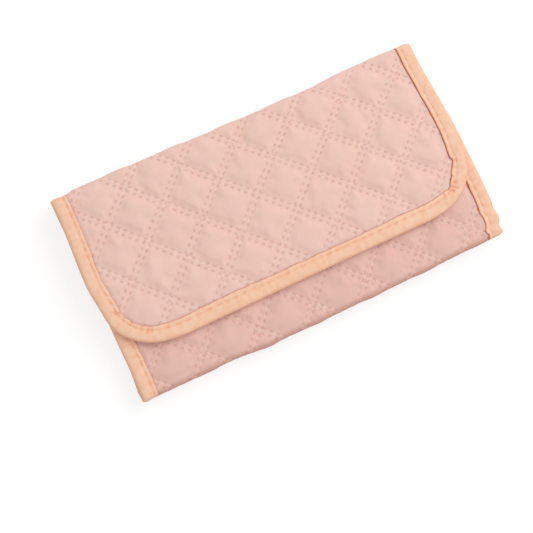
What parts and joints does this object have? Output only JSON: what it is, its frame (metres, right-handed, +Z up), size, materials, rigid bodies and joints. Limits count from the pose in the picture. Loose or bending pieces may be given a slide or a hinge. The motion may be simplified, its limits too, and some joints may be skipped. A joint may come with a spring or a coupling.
{
  "type": "changing pad",
  "caption": "Folding quilted baby changing pad: four padded, tape-bound panels in one strip that closes like a wallet and opens out to a long flat mat",
  "frame": {"origin": "centre of the closed pad's footprint, on the surface it lies on", "axes": "+X along the closed pad's long side, -Y towards the lower fold that the flap leaves open to view, +Z up"},
  "size_m": [0.22, 0.12, 0.0169],
  "materials": {
    "quilted_cloth": "fine woven polyester, quilted in diamonds with double rows of stitches, matt with a faint sheen",
    "binding_tape": "folded woven binding tape, topstitched",
    "wadding": "white polyester wadding",
    "waterproof_film": "thin milky waterproof film",
    "hook_tape": "moulded hook tape",
    "loop_tape": "brushed loop tape"
  },
  "bodies": {
    "bottom_panel": {"bottom_upper_cover": "quilted_cloth", "bottom_lower_cover": "quilted_cloth", "bottom_upper_wadding": "wadding", "bottom_lower_wadding": "wadding", "bottom_film": "waterproof_film", "bottom_binding": "binding_tape"},
    "middle_panel": {"middle_upper_cover": "quilted_cloth", "middle_lower_cover": "quilted_cloth", "middle_upper_wadding": "wadding", "middle_lower_wadding": "wadding", "middle_film": "waterproof_film", "middle_left_binding": "binding_tape", "middle_right_binding": "binding_tape"},
    "front_panel": {"front_upper_cover": "quilted_cloth", "front_lower_cover": "quilted_cloth", "front_upper_wadding": "wadding", "front_lower_wadding": "wadding", "front_film": "waterproof_film", "front_left_binding": "binding_tape", "front_right_binding": "binding_tape", "loop_patch": "loop_tape"},
    "flap": {"flap_upper_cover": "quilted_cloth", "flap_lower_cover": "quilted_cloth", "flap_upper_wadding": "wadding", "flap_lower_wadding": "wadding", "flap_film": "waterproof_film", "flap_binding": "binding_tape", "hook_patch": "hook_tape"}
  },
  "joints": [
    {"name": "far_fold", "type": "hinge", "parent": "bottom_panel", "child": "middle_panel", "pos_m": [0, 0.0602, 0.00415], "axis": [-1, 0, 0], "range_deg": [0, 180]},
    {"name": "lower_fold", "type": "hinge", "parent": "middle_panel", "child": "front_panel", "pos_m": [0, -0.0602, 0.00845], "axis": [1, 0, 0], "range_deg": [0, 180]},
    {"name": "flap_fold", "type": "hinge", "parent": "front_panel", "child": "flap", "pos_m": [0, 0.0602, 0.01275], "axis": [-1, 0, 0], "range_deg": [0, 180]}
  ],
  "couplings": [
    {"joint": "lower_fold", "follows": "far_fold", "ratio": 1}
  ]
}
